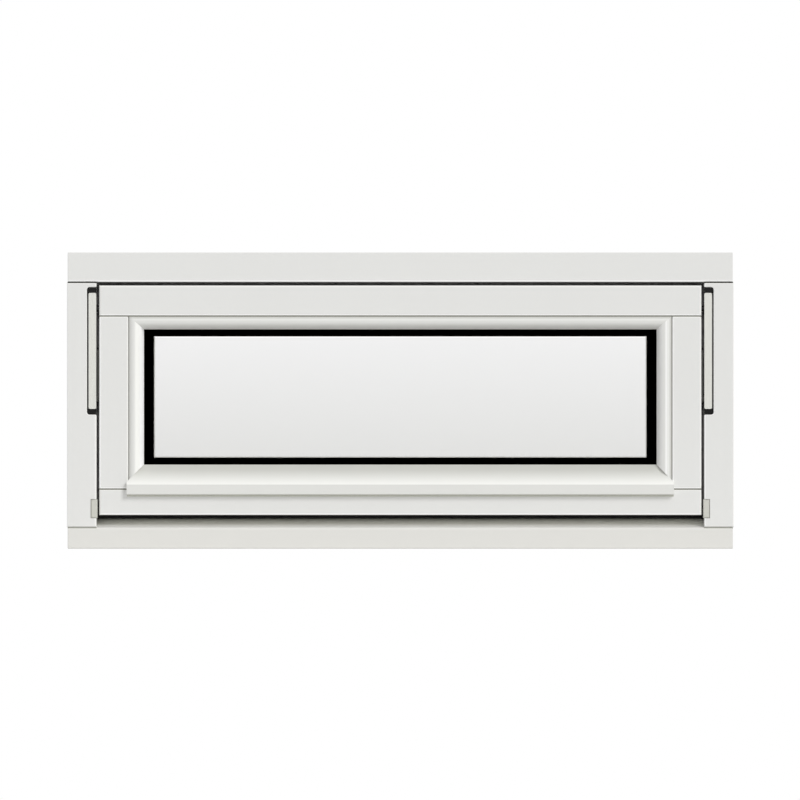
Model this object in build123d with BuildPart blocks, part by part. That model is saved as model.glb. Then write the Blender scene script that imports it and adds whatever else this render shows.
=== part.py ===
from build123d import *
import os

os.makedirs("parts", exist_ok=True)

# A white-painted timber top-swing window, closed. All sizes are in millimetres.
# X runs across the window, -Y faces outdoors and +Z is up.
# The origin is the middle of the frame's underside.

# Frame
frame_width = 900.0
frame_height = 400.0
frame_depth = 105.0
head_face = 40.0
jamb_face = 40.0
sill_nose = 28.3
sill_rise = 12.7
end_setback = 1.0
sash_lap = 11.0
frame_arris = 3.0
outer_arris = 1.0
end_arris = 0.6
sill_drip_inset = 9.0
sill_drip_width = 5.0
sill_drip_depth = 4.0
lining_groove_inset = 14.0
lining_groove_width = 8.0
lining_groove_depth = 6.0
fixing_hole_r = 4.0
fixing_hole_spacing = 200.0
fixing_hole_inset = 22.0

# Sash, and the gaps between it and the frame
side_gap = 3.5
top_gap = 4.7
bottom_gap = 17.2
sash_setback = 1.0
sash_depth = 57.0
seal_gap = 5.0
stile_cover = 60.5
top_rail_cover = 59.3
bottom_rail_cover = 68.0
stile_shoulder = 39.5
top_rail_shoulder = 41.1
bottom_rail_shoulder = 34.9
glass_rebate = 12.5
glass_seat_height = 50.5
rear_stop = 10.0
inside_moulding = 6.0
moulding_slope = 45.0
sash_arris = 2.5
rail_drip_inset = 7.0
rail_drip_width = 4.0
rail_drip_depth = 3.5

# Glazing beads: the crowned ones at the top and sides, and the weathered one below
bead_fit = 0.3
bead_crown_in = 7.5
bead_crown_rise = 4.0
bead_crown_radius = 2.4
bead_fall = 12.4
bead_edge_radius = 1.5
weathering_height = 27.0
weathering_radius = 70.0
nose_height = 13.5
nose_reach = 9.0
nose_end_reach = 23.6
nose_radius = 1.5
nose_drip_inset = 3.0
nose_drip_width = 2.5
nose_drip_depth = 2.0

# Insulating glass unit
pane = 4.0
cavity = 16.0
tape = 3.0
tape_setback = 0.5
glass_clearance = 4.0
side_band = 13.5
top_band = 9.5
spacer_width = 9.0

# Weather seal between sash and stop
seal_width = 8.0
seal_inset = 1.5
seal_corner = 4.0

# Drip seal on the sill's upstand, under the sash
sill_seal_thickness = 3.0
sill_seal_height = 5.4
sill_seal_rib = 1.2

# Slide rail and its slot in each jamb
slot_width = 13.0
slot_depth = 38.0
slot_height = 172.2
slot_below_head = 6.9
slot_corner = 3.5
slot_arris = 1.0
rail_width = 10.3
rail_end_gap = 7.8
rail_gap_offset = 0.5
rail_front_setback = 2.0
rail_wall = 2.0
rail_end_wall = 3.0
rail_corner = 2.0
clip_setback = 5.0
clip_edge = 0.8
mouth_width = 20.0
mouth_start = 36.0
shoe_height = 30.0
shoe_clearance = 0.2
shoe_top_gap = 3.0
shoe_corner = 1.5
pin_radius = 4.0

# Swing arm and sash plate
arm_foot = 14.0
arm_width = 16.0
arm_thickness = 2.0
arm_standoff = 0.5
boss_radius = 6.0
plate_width = 20.0
plate_thickness = 2.5
plate_end = 14.0

# Locks: a keep in each jamb, and a roller on the edge of the sash that turns in behind it
keep_bottom = 41.4
keep_height = 25.2
keep_width = 9.0
keep_into_gap = 1.2
keep_depth = 28.0
keep_setback = 0.5
keep_bevel = 1.3
keep_fit = 0.3
lock_clearance = 0.5
roller_radius = 4.0
roller_length = 3.0
roller_rim = 0.6
faceplate_length = 92.0
faceplate_width = 16.0
faceplate_thickness = 2.5
faceplate_above_foot = 4.5

# Inside handle
handle_height = 82.0
rosette_width = 66.0
rosette_height = 30.0
rosette_thickness = 8.0
rosette_edge = 2.0
neck_length = 11.5
lever_bend = 12.0
lever_reach = 116.0
lever_thickness = 12.0
lever_height = 19.0
lever_arris = 2.5

# Planes and lines that several pieces share
outer_face = -frame_depth / 2
inner_face = frame_depth / 2
head_under = frame_height - head_face
jamb_inner = frame_width / 2 - jamb_face
end_face = frame_width / 2 - end_setback

sash_half = jamb_inner - side_gap
sash_top = head_under - top_gap
sash_bottom = sill_nose + bottom_gap
sash_front = outer_face + sash_setback
sash_back = sash_front + sash_depth
sash_height = sash_top - sash_bottom
stop_face = sash_back + seal_gap
daylight_half = sash_half - sash_lap
daylight_top = sash_top - sash_lap
daylight_bottom = sash_bottom + sash_lap

sight_half = sash_half - stile_cover
sight_top = sash_top - top_rail_cover
sight_bottom = sash_bottom + bottom_rail_cover
sight_height = sight_top - sight_bottom
top_joint = sash_top - top_rail_shoulder
bottom_joint = sash_bottom + bottom_rail_shoulder

side_joint = sash_half - stile_shoulder
side_bead_width = side_joint - bead_fit - sight_half
top_bead_width = top_joint - bead_fit - sight_top
bead_outer = sight_half + side_bead_width
bead_top_edge = sight_top + top_bead_width
rebate_half = sight_half + glass_rebate
rebate_top = sight_top + glass_rebate
glass_seat = sash_bottom + glass_seat_height

stop_front = sash_back - rear_stop
inner_pane_face = stop_front - tape
outer_pane_face = inner_pane_face - 2 * pane - cavity
bead_back = outer_pane_face - tape
bead_depth = bead_back - sash_front

glass_half = rebate_half - glass_clearance
glass_top = rebate_top - glass_clearance
glass_bottom = glass_seat + glass_clearance

slot_top = head_under - slot_below_head
slot_bottom = slot_top - slot_height
slot_back = outer_face + slot_depth
rail_inner = jamb_inner + rail_gap_offset
rail_front = outer_face + rail_front_setback
rail_bottom = slot_bottom + rail_end_gap
rail_top = slot_top - rail_end_gap
rail_middle = (rail_front + slot_back) / 2
shoe_top = rail_top - rail_end_wall - shoe_top_gap
shoe_middle = shoe_top - shoe_height / 2
arm_pivot = rail_bottom + arm_foot
arm_joint = (arm_pivot + shoe_middle) / 2
arm_inner = sash_half + arm_standoff
arm_outer = arm_inner + arm_thickness

lock_line = outer_face + keep_depth + lock_clearance + roller_radius


def rectangle_ring(plane, outer_half, outer_low, outer_high, inner_half, inner_low, inner_high):
    """Upright rectangular ring, drawn on a plane that faces outdoors."""
    with BuildSketch(plane) as ring:
        with Locations((0, (outer_low + outer_high) / 2)):
            Rectangle(2 * outer_half, outer_high - outer_low)
        with Locations((0, (inner_low + inner_high) / 2)):
            Rectangle(2 * inner_half, inner_high - inner_low, mode=Mode.SUBTRACT)
    return ring.sketch


def bead_section(plane, width):
    """Crowned bead: a quarter round from its outer edge, then a flat slope down to the glass."""
    crown = bead_crown_in * width / side_bead_width
    with BuildSketch(plane) as section:
        with BuildLine():
            round_edge = RadiusArc((0, bead_crown_rise - crown), (crown, bead_crown_rise), crown)
            FilletPolyline(
                round_edge @ 1,
                (crown + bead_crown_radius, bead_crown_rise),
                (width, -bead_fall),
                (width, -bead_depth),
                radius=[bead_crown_radius, bead_edge_radius],
            )
            Polyline((width, -bead_depth), (0, -bead_depth), round_edge @ 0)
        make_face()
    return section.sketch


def upright(y):
    """Plane at depth y that faces outdoors, with its own x along X and its own y along Z."""
    return Plane.XZ.offset(-y)


# Frame head: runs across the tops of the jambs
with BuildSketch(Plane.YZ) as head_section:
    with BuildLine():
        Polyline(
            (outer_face, head_under),
            (outer_face, frame_height),
            (inner_face, frame_height),
            (inner_face, daylight_top),
            (stop_face, daylight_top),
            (stop_face, head_under),
            close=True,
        )
    make_face()

with BuildPart() as head_scribe:
    extrude(head_section.sketch, amount=frame_width / 2, both=True)

with BuildPart() as frame_head:
    extrude(head_section.sketch, amount=end_face, both=True)
    for face in (0, -1):
        long_edges = frame_head.faces().sort_by(Axis.Y)[face].edges().filter_by(Axis.X)
        fillet(long_edges.sort_by(Axis.Z)[0], frame_arris)
        long_edges = frame_head.faces().sort_by(Axis.Y)[face].edges().filter_by(Axis.X)
        chamfer(long_edges.sort_by(Axis.Z)[-1], outer_arris)
    for end in (0, -1):
        chamfer(frame_head.faces().sort_by(Axis.X)[end].edges(), end_arris)
    with BuildSketch(Plane.YZ):
        with Locations((inner_face, frame_height - lining_groove_inset)):
            Rectangle(
                lining_groove_depth,
                lining_groove_width,
                align=(Align.MAX, Align.MAX),
            )
    extrude(amount=end_face, both=True, mode=Mode.SUBTRACT)
frame_head.part.label = "frame_head"
export_step(frame_head.part, "parts/frame_head.step")

# Frame sill: sloping top, vertical nose, and an upstand that the sash closes against
with BuildSketch(Plane.YZ) as sill_section:
    with BuildLine():
        Polyline(
            (outer_face, 0),
            (outer_face, sill_nose),
            (stop_face, sill_nose + sill_rise),
            (stop_face, daylight_bottom),
            (inner_face, daylight_bottom),
            (inner_face, 0),
            close=True,
        )
    make_face()

with BuildPart() as sill_scribe:
    extrude(sill_section.sketch, amount=frame_width / 2, both=True)

with BuildPart() as frame_sill:
    extrude(sill_section.sketch, amount=end_face, both=True)
    for face in (0, -1):
        long_edges = frame_sill.faces().sort_by(Axis.Y)[face].edges().filter_by(Axis.X)
        fillet(long_edges.sort_by(Axis.Z)[-1], frame_arris)
        long_edges = frame_sill.faces().sort_by(Axis.Y)[face].edges().filter_by(Axis.X)
        chamfer(long_edges.sort_by(Axis.Z)[0], outer_arris)
    for end in (0, -1):
        chamfer(frame_sill.faces().sort_by(Axis.X)[end].edges(), end_arris)
    with BuildSketch(Plane.YZ):
        with Locations((inner_face, lining_groove_inset)):
            Rectangle(
                lining_groove_depth,
                lining_groove_width,
                align=(Align.MAX, Align.MIN),
            )
        with Locations((outer_face + sill_drip_inset, 0)):
            Rectangle(sill_drip_width, 2 * sill_drip_depth, align=(Align.MIN, Align.CENTER))
    extrude(amount=end_face, both=True, mode=Mode.SUBTRACT)
frame_sill.part.label = "frame_sill"
export_step(frame_sill.part, "parts/frame_sill.step")

# Shapes cut out of the right jamb: the slot of the slide rail and the housing of the lock keep
with BuildPart() as rail_slot:
    with BuildSketch(upright(outer_face)) as slot_outline:
        with Locations((jamb_inner - side_gap, (slot_bottom + slot_top) / 2)):
            Rectangle(slot_width + side_gap, slot_top - slot_bottom, align=(Align.MIN, Align.CENTER))
        fillet(slot_outline.vertices().group_by(Axis.X)[-1], slot_corner)
    extrude(amount=-slot_depth)

with BuildPart() as keep_housing:
    with BuildSketch(upright(outer_face)):
        with Locations((jamb_inner - keep_into_gap, keep_bottom - keep_fit)):
            Rectangle(keep_width + keep_fit, keep_height + 2 * keep_fit, align=(Align.MIN, Align.MIN))
    extrude(amount=-keep_depth)

# Frame jambs: scribed between head and sill, with screw holes through the inner part
for side in ("left", "right"):
    with BuildPart() as frame_jamb:
        with BuildSketch(Plane.XY) as jamb_section:
            with BuildLine():
                Polyline(
                    (jamb_inner, outer_face),
                    (frame_width / 2, outer_face),
                    (frame_width / 2, inner_face),
                    (daylight_half, inner_face),
                    (daylight_half, stop_face),
                    (jamb_inner, stop_face),
                    close=True,
                )
            make_face()
            chamfer(jamb_section.vertices().group_by(Axis.X)[-1], outer_arris)
        extrude(amount=frame_height)
        add(head_scribe.part, mode=Mode.SUBTRACT)
        add(sill_scribe.part, mode=Mode.SUBTRACT)
        for face in (0, -1):
            fillet(frame_jamb.faces().sort_by(Axis.Y)[face].edges().sort_by(Axis.X)[:-1], frame_arris)
        with BuildSketch(Plane.XY):
            with Locations((frame_width / 2 - lining_groove_inset, inner_face)):
                Rectangle(
                    lining_groove_width,
                    lining_groove_depth,
                    align=(Align.MAX, Align.MAX),
                )
        extrude(amount=frame_height, mode=Mode.SUBTRACT)
        with BuildSketch(Plane.YZ.offset(daylight_half)):
            with Locations((inner_face - fixing_hole_inset, frame_height / 2)):
                with GridLocations(0, fixing_hole_spacing, 1, 2):
                    Circle(fixing_hole_r)
        extrude(amount=frame_width / 2 - daylight_half, mode=Mode.SUBTRACT)
        add(rail_slot.part, mode=Mode.SUBTRACT)
        slot_edges = frame_jamb.faces().sort_by(Axis.Y)[0].edges()
        slot_edges = slot_edges.filter_by_position(Axis.X, jamb_inner, jamb_inner + slot_width)
        slot_edges = slot_edges.filter_by_position(Axis.Z, slot_bottom, slot_top)
        chamfer(slot_edges, slot_arris)
        add(keep_housing.part, mode=Mode.SUBTRACT)
        if side == "left":
            mirror(about=Plane.YZ, mode=Mode.REPLACE)
    frame_jamb.part.label = f"frame_jamb_{side}"
    export_step(frame_jamb.part, f"parts/frame_jamb_{side}.step")

# Shapes cut out of the sash: the moulded daylight opening, and the beds of the plates on its edges
with BuildPart() as sash_daylight:
    with BuildSketch(upright(sash_back)):
        with Locations((0, (sight_top + sight_bottom) / 2)):
            Rectangle(2 * sight_half, sight_height)
    extrude(amount=rear_stop)
    with BuildSketch(upright(sash_back)):
        with Locations((0, (sight_top + sight_bottom) / 2)):
            Rectangle(2 * (sight_half + inside_moulding), sight_height + 2 * inside_moulding)
    extrude(amount=inside_moulding, taper=moulding_slope)

plate_low = arm_joint - plate_end
plate_high = shoe_middle + plate_end
with BuildPart() as plate_right:
    with BuildSketch(Plane.YZ.offset(sash_half)):
        with Locations((rail_middle, (plate_low + plate_high) / 2)):
            SlotOverall(plate_high - plate_low, plate_width, rotation=90)
    extrude(amount=-plate_thickness)

with BuildPart() as faceplate_right:
    with BuildSketch(Plane.YZ.offset(sash_half)):
        with Locations((lock_line, sash_bottom + faceplate_above_foot + faceplate_length / 2)):
            SlotOverall(faceplate_length, faceplate_width, rotation=90)
    extrude(amount=-faceplate_thickness)

with BuildPart() as plates_left:
    mirror(plate_right.part, about=Plane.YZ)
    mirror(faceplate_right.part, about=Plane.YZ)

# Sash stiles: stand between the shoulders of the rails
with BuildPart() as stile_right:
    with BuildSketch(Plane.XY.offset(bottom_joint)):
        with BuildLine():
            Polyline(
                (side_joint, sash_front),
                (sash_half, sash_front),
                (sash_half, sash_back),
                (sight_half, sash_back),
                (sight_half, stop_front),
                (rebate_half, stop_front),
                (rebate_half, bead_back),
                (side_joint, bead_back),
                close=True,
            )
        make_face()
    extrude(amount=top_joint - bottom_joint)

with BuildPart() as stile_left:
    mirror(stile_right.part, about=Plane.YZ)

for side in ("left", "right"):
    with BuildPart() as sash_stile:
        add(stile_right.part)
        fillet(sash_stile.faces().sort_by(Axis.Y)[0].edges(), sash_arris)
        add(sash_daylight.part, mode=Mode.SUBTRACT)
        add(plate_right.part, mode=Mode.SUBTRACT)
        add(faceplate_right.part, mode=Mode.SUBTRACT)
        if side == "left":
            mirror(about=Plane.YZ, mode=Mode.REPLACE)
    sash_stile.part.label = f"sash_stile_{side}"
    export_step(sash_stile.part, f"parts/sash_stile_{side}.step")

# Sash top rail: full width, stepped down between the stiles to the glass and to the sight line
with BuildPart() as sash_top_rail:
    with BuildSketch(Plane.YZ):
        with BuildLine():
            Polyline(
                (sash_front, sash_top),
                (sash_back, sash_top),
                (sash_back, sight_top),
                (stop_front, sight_top),
                (stop_front, rebate_top),
                (bead_back, rebate_top),
                (bead_back, top_joint),
                (sash_front, top_joint),
                close=True,
            )
        make_face()
    extrude(amount=sash_half, both=True)
    add(stile_left.part, mode=Mode.SUBTRACT)
    add(stile_right.part, mode=Mode.SUBTRACT)
    fillet(sash_top_rail.faces().sort_by(Axis.Y)[0].edges(), sash_arris)
    add(sash_daylight.part, mode=Mode.SUBTRACT)
    add(plates_left.part, mode=Mode.SUBTRACT)
    add(plate_right.part, mode=Mode.SUBTRACT)
sash_top_rail.part.label = "sash_top_rail"
export_step(sash_top_rail.part, "parts/sash_top_rail.step")

# Sash bottom rail: a low step carries the weathered bead, a higher one the glass
with BuildPart() as sash_bottom_rail:
    with BuildSketch(Plane.YZ):
        with BuildLine():
            Polyline(
                (sash_front, sash_bottom),
                (sash_front, bottom_joint),
                (bead_back, bottom_joint),
                (bead_back, glass_seat),
                (stop_front, glass_seat),
                (stop_front, sight_bottom),
                (sash_back, sight_bottom),
                (sash_back, sash_bottom),
                close=True,
            )
        make_face()
    extrude(amount=sash_half, both=True)
    add(stile_left.part, mode=Mode.SUBTRACT)
    add(stile_right.part, mode=Mode.SUBTRACT)
    fillet(sash_bottom_rail.faces().sort_by(Axis.Y)[0].edges(), sash_arris)
    with BuildSketch(Plane.YZ):
        with Locations((sash_front + rail_drip_inset, sash_bottom)):
            Rectangle(rail_drip_width, 2 * rail_drip_depth, align=(Align.MIN, Align.CENTER))
    extrude(amount=sash_half, both=True, mode=Mode.SUBTRACT)
    add(sash_daylight.part, mode=Mode.SUBTRACT)
    add(plates_left.part, mode=Mode.SUBTRACT)
    add(faceplate_right.part, mode=Mode.SUBTRACT)
sash_bottom_rail.part.label = "sash_bottom_rail"
export_step(sash_bottom_rail.part, "parts/sash_bottom_rail.step")

# Mitres: the upper one joins the corners of two beads of unlike width, the lower one is at 45 degrees
upper_mitre = Plane(
    origin=(sight_half, 0, sight_top),
    x_dir=(0, 1, 0),
    z_dir=(-top_bead_width, 0, side_bead_width),
)
lower_mitre = Plane(origin=(sight_half, 0, sight_bottom), x_dir=(0, 1, 0), z_dir=(1, 0, 1))
upper_mitre_left = Plane(
    origin=(-sight_half, 0, sight_top),
    x_dir=(0, 1, 0),
    z_dir=(top_bead_width, 0, side_bead_width),
)
lower_mitre_left = Plane(origin=(-sight_half, 0, sight_bottom), x_dir=(0, 1, 0), z_dir=(-1, 0, 1))

# Top bead
with BuildPart() as bead_top:
    extrude(
        bead_section(
            Plane(origin=(0, sash_front, bead_top_edge), x_dir=(0, 0, -1), z_dir=(-1, 0, 0)),
            top_bead_width,
        ),
        amount=bead_outer,
        both=True,
    )
    split(bisect_by=upper_mitre, keep=Keep.TOP)
    split(bisect_by=upper_mitre_left, keep=Keep.TOP)
bead_top.part.label = "bead_top"
export_step(bead_top.part, "parts/bead_top.step")

# Side beads
for side in ("left", "right"):
    with BuildPart() as bead_side:
        extrude(
            bead_section(
                Plane(origin=(bead_outer, sash_front, bottom_joint), x_dir=(-1, 0, 0), z_dir=(0, 0, 1)),
                side_bead_width,
            ),
            amount=bead_top_edge - bottom_joint,
        )
        split(bisect_by=upper_mitre, keep=Keep.BOTTOM)
        split(bisect_by=lower_mitre, keep=Keep.TOP)
        if side == "left":
            mirror(about=Plane.YZ, mode=Mode.REPLACE)
    bead_side.part.label = f"bead_{side}"
    export_step(bead_side.part, f"parts/bead_{side}.step")

# Bottom bead: weathered slope, and a nose that hangs over the rail's joint with a drip under it
nose_top = sight_bottom - weathering_height
nose_bottom = nose_top - nose_height
nose_front = sash_front - nose_reach
drip_front = nose_front + nose_drip_inset
drip_back = drip_front + nose_drip_width
with BuildPart() as bead_bottom:
    with BuildSketch(Plane.YZ) as weathered:
        with BuildLine():
            RadiusArc((nose_front, nose_top), (sash_front + bead_fall, sight_bottom), weathering_radius)
            Polyline(
                (nose_front, nose_top),
                (nose_front, nose_bottom),
                (drip_front, nose_bottom),
                (drip_front, nose_bottom + nose_drip_depth),
                (drip_back, nose_bottom + nose_drip_depth),
                (drip_back, nose_bottom),
                (sash_front, nose_bottom),
                (sash_front, bottom_joint),
                (bead_back, bottom_joint),
                (bead_back, sight_bottom),
                (sash_front + bead_fall, sight_bottom),
            )
        make_face()
        fillet(weathered.vertices().group_by(Axis.X)[0], nose_radius)
        fillet(weathered.vertices().group_by(Axis.Y)[-1].sort_by(Axis.X)[0], bead_edge_radius)
    extrude(amount=sight_half + nose_end_reach, both=True)
    split(bisect_by=lower_mitre, keep=Keep.BOTTOM)
    split(bisect_by=lower_mitre_left, keep=Keep.BOTTOM)
    add(stile_left.part, mode=Mode.SUBTRACT)
    add(stile_right.part, mode=Mode.SUBTRACT)
bead_bottom.part.label = "bead_bottom"
export_step(bead_bottom.part, "parts/bead_bottom.step")

# Glazing tapes, on both faces of the glass unit
with BuildPart() as glazing_tape_outer:
    extrude(
        rectangle_ring(
            upright(bead_back),
            glass_half,
            glass_bottom,
            glass_top,
            sight_half + tape_setback,
            sight_bottom - tape_setback,
            sight_top + tape_setback,
        ),
        amount=-tape,
    )
glazing_tape_outer.part.label = "glazing_tape_outer"
export_step(glazing_tape_outer.part, "parts/glazing_tape_outer.step")

with BuildPart() as glazing_tape_inner:
    extrude(
        rectangle_ring(
            upright(inner_pane_face),
            glass_half,
            glass_bottom,
            glass_top,
            sight_half + tape_setback,
            sight_bottom - tape_setback,
            sight_top + tape_setback,
        ),
        amount=-tape,
    )
glazing_tape_inner.part.label = "glazing_tape_inner"
export_step(glazing_tape_inner.part, "parts/glazing_tape_inner.step")

# Two panes
with BuildPart() as glass_outer:
    with BuildSketch(upright(outer_pane_face)):
        with Locations((0, (glass_bottom + glass_top) / 2)):
            Rectangle(2 * glass_half, glass_top - glass_bottom)
    extrude(amount=-pane)
glass_outer.part.label = "glass_outer"
export_step(glass_outer.part, "parts/glass_outer.step")

with BuildPart() as glass_inner:
    with BuildSketch(upright(inner_pane_face - pane)):
        with Locations((0, (glass_bottom + glass_top) / 2)):
            Rectangle(2 * glass_half, glass_top - glass_bottom)
    extrude(amount=-pane)
glass_inner.part.label = "glass_inner"
export_step(glass_inner.part, "parts/glass_inner.step")

# Spacer bar and the sealant that fills the edge behind it
cavity_face = outer_pane_face + pane
spacer_half = sight_half - side_band
spacer_low = sight_bottom + top_band
spacer_high = sight_top - top_band
with BuildPart() as spacer_bar:
    extrude(
        rectangle_ring(
            upright(cavity_face),
            spacer_half + spacer_width,
            spacer_low - spacer_width,
            spacer_high + spacer_width,
            spacer_half,
            spacer_low,
            spacer_high,
        ),
        amount=-cavity,
    )
spacer_bar.part.label = "spacer_bar"
export_step(spacer_bar.part, "parts/spacer_bar.step")

with BuildPart() as edge_sealant:
    extrude(
        rectangle_ring(
            upright(cavity_face),
            glass_half,
            glass_bottom,
            glass_top,
            spacer_half + spacer_width,
            spacer_low - spacer_width,
            spacer_high + spacer_width,
        ),
        amount=-cavity,
    )
edge_sealant.part.label = "edge_sealant"
export_step(edge_sealant.part, "parts/edge_sealant.step")

# Weather seal: pressed between the back of the sash and the frame's stop
with BuildPart() as weather_seal:
    with BuildSketch(upright(sash_back)):
        with Locations((0, (sash_bottom + sash_top) / 2)):
            RectangleRounded(
                2 * (sash_half - seal_inset),
                sash_height - 2 * seal_inset,
                seal_corner,
            )
            Rectangle(
                2 * (sash_half - seal_inset - seal_width),
                sash_height - 2 * (seal_inset + seal_width),
                mode=Mode.SUBTRACT,
            )
    extrude(amount=-seal_gap)
weather_seal.part.label = "weather_seal"
export_step(weather_seal.part, "parts/weather_seal.step")

# Drip seal: a ribbed strip along the foot of the sill's upstand
with BuildPart() as sill_seal:
    with BuildSketch(Plane.YZ):
        with Locations((stop_face, sill_nose + sill_rise)):
            Rectangle(sill_seal_thickness, sill_seal_height, align=(Align.MAX, Align.MIN))
        with Locations((stop_face - sill_seal_thickness, sill_nose + sill_rise + sill_seal_height / 2)):
            Circle(sill_seal_rib)
    extrude(amount=jamb_inner, both=True)
sill_seal.part.label = "sill_seal"
export_step(sill_seal.part, "parts/sill_seal.step")

# Side fittings: the shoe slides down the rail while the arm carries the sash outwards
for side in ("left", "right"):
    with BuildPart() as slide_rail:
        with BuildSketch(Plane.XY.offset(rail_bottom)):
            with Locations((rail_inner, rail_front)):
                Rectangle(rail_width, slot_back - rail_front, align=(Align.MIN, Align.MIN))
        extrude(amount=rail_top - rail_bottom)
        corner_edges = slide_rail.edges().filter_by(Axis.Y)
        fillet(corner_edges, rail_corner)
        with BuildSketch(Plane.XY.offset(rail_bottom + rail_end_wall)):
            with Locations((rail_inner + rail_wall, rail_middle)):
                Rectangle(
                    rail_width - 2 * rail_wall,
                    slot_back - rail_front - 2 * rail_wall,
                    align=(Align.MIN, Align.CENTER),
                )
        extrude(amount=rail_top - rail_bottom - 2 * rail_end_wall, mode=Mode.SUBTRACT)
        with BuildSketch(Plane.XY.offset(rail_bottom + mouth_start)):
            with Locations((rail_inner, rail_middle)):
                Rectangle(rail_wall, mouth_width, align=(Align.MIN, Align.CENTER))
        extrude(amount=rail_top - rail_bottom - mouth_start - rail_end_wall, mode=Mode.SUBTRACT)
        if side == "left":
            mirror(about=Plane.YZ, mode=Mode.REPLACE)
    slide_rail.part.label = f"slide_rail_{side}"
    export_step(slide_rail.part, f"parts/slide_rail_{side}.step")

    for end, low, high in (("lower", slot_bottom, rail_bottom), ("upper", rail_top, slot_top)):
        with BuildPart() as rail_clip:
            with BuildSketch(upright(outer_face + clip_setback)):
                with Locations((rail_inner, (low + high) / 2)):
                    Rectangle(
                        jamb_inner + slot_width - rail_inner,
                        high - low,
                        align=(Align.MIN, Align.CENTER),
                    )
            extrude(amount=clip_setback - slot_depth)
            outer_edges = rail_clip.edges().filter_by(Axis.Y).group_by(Axis.X)[-1].sort_by(Axis.Z)
            fillet(outer_edges[0 if end == "lower" else -1], slot_corner)
            chamfer(rail_clip.faces().sort_by(Axis.Y)[0].edges(), clip_edge)
            if side == "left":
                mirror(about=Plane.YZ, mode=Mode.REPLACE)
        rail_clip.part.label = f"rail_clip_{end}_{side}"
        export_step(rail_clip.part, f"parts/rail_clip_{end}_{side}.step")

    with BuildPart() as slide_shoe:
        with BuildSketch(Plane.XY.offset(shoe_top - shoe_height)):
            with Locations((rail_inner + rail_wall + shoe_clearance, rail_middle)):
                Rectangle(
                    rail_width - 2 * rail_wall - 2 * shoe_clearance,
                    slot_back - rail_front - 2 * rail_wall - 2 * shoe_clearance,
                    align=(Align.MIN, Align.CENTER),
                )
        extrude(amount=shoe_height)
        fillet(slide_shoe.edges().filter_by(Axis.X), shoe_corner)
        with BuildSketch(Plane.XY.offset(shoe_top - shoe_height)):
            with Locations((rail_inner, rail_middle)):
                Rectangle(
                    rail_wall + shoe_clearance,
                    mouth_width - 2 * shoe_clearance,
                    align=(Align.MIN, Align.CENTER),
                )
        extrude(amount=shoe_height)
        with BuildSketch(Plane.YZ.offset(sash_half)):
            with Locations((rail_middle, shoe_middle)):
                Circle(pin_radius)
        extrude(amount=rail_inner - sash_half)
        if side == "left":
            mirror(about=Plane.YZ, mode=Mode.REPLACE)
    slide_shoe.part.label = f"slide_shoe_{side}"
    export_step(slide_shoe.part, f"parts/slide_shoe_{side}.step")

    with BuildPart() as swing_arm:
        with BuildSketch(Plane.YZ.offset(arm_inner)):
            with Locations((rail_middle, (arm_pivot + arm_joint) / 2)):
                SlotCenterToCenter(arm_joint - arm_pivot, arm_width, rotation=90)
        extrude(amount=arm_thickness)
        with BuildSketch(Plane.YZ.offset(sash_half)):
            with Locations((rail_middle, arm_joint)):
                Circle(boss_radius)
        extrude(amount=arm_standoff)
        with BuildSketch(Plane.YZ.offset(arm_outer)):
            with Locations((rail_middle, arm_pivot)):
                Circle(boss_radius)
        extrude(amount=rail_inner - arm_outer)
        if side == "left":
            mirror(about=Plane.YZ, mode=Mode.REPLACE)
    swing_arm.part.label = f"swing_arm_{side}"
    export_step(swing_arm.part, f"parts/swing_arm_{side}.step")

    with BuildPart() as sash_plate:
        add(plate_right.part)
        if side == "left":
            mirror(about=Plane.YZ, mode=Mode.REPLACE)
    sash_plate.part.label = f"sash_plate_{side}"
    export_step(sash_plate.part, f"parts/sash_plate_{side}.step")

# Locks: each roller stands out of its faceplate, just behind the keep in the jamb
for side in ("left", "right"):
    with BuildPart() as lock_keep:
        with BuildSketch(upright(outer_face + keep_setback)):
            with Locations((jamb_inner - keep_into_gap, keep_bottom)):
                Rectangle(keep_width, keep_height, align=(Align.MIN, Align.MIN))
        extrude(amount=-(keep_depth - keep_setback))
        chamfer(lock_keep.faces().sort_by(Axis.Y)[0].edges(), keep_bevel)
        if side == "left":
            mirror(about=Plane.YZ, mode=Mode.REPLACE)
    lock_keep.part.label = f"lock_keep_{side}"
    export_step(lock_keep.part, f"parts/lock_keep_{side}.step")

    with BuildPart() as lock_faceplate:
        add(faceplate_right.part)
        if side == "left":
            mirror(about=Plane.YZ, mode=Mode.REPLACE)
    lock_faceplate.part.label = f"lock_faceplate_{side}"
    export_step(lock_faceplate.part, f"parts/lock_faceplate_{side}.step")

    with BuildPart() as locking_roller:
        with BuildSketch(Plane.YZ.offset(sash_half)):
            with Locations((lock_line, keep_bottom + keep_height / 2)):
                Circle(roller_radius)
        extrude(amount=roller_length)
        chamfer(locking_roller.faces().sort_by(Axis.X)[-1].edges(), roller_rim)
        if side == "left":
            mirror(about=Plane.YZ, mode=Mode.REPLACE)
    locking_roller.part.label = f"locking_roller_{side}"
    export_step(locking_roller.part, f"parts/locking_roller_{side}.step")

# Inside handle, closed: the lever lies level
rosette_face = sash_back + rosette_thickness
with BuildPart() as handle_rosette:
    with BuildSketch(upright(sash_back)):
        with Locations((0, handle_height)):
            SlotOverall(rosette_width, rosette_height)
    extrude(amount=-rosette_thickness)
    chamfer(handle_rosette.faces().sort_by(Axis.Y)[-1].edges(), rosette_edge)
handle_rosette.part.label = "handle_rosette"
export_step(handle_rosette.part, "parts/handle_rosette.step")

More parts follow.
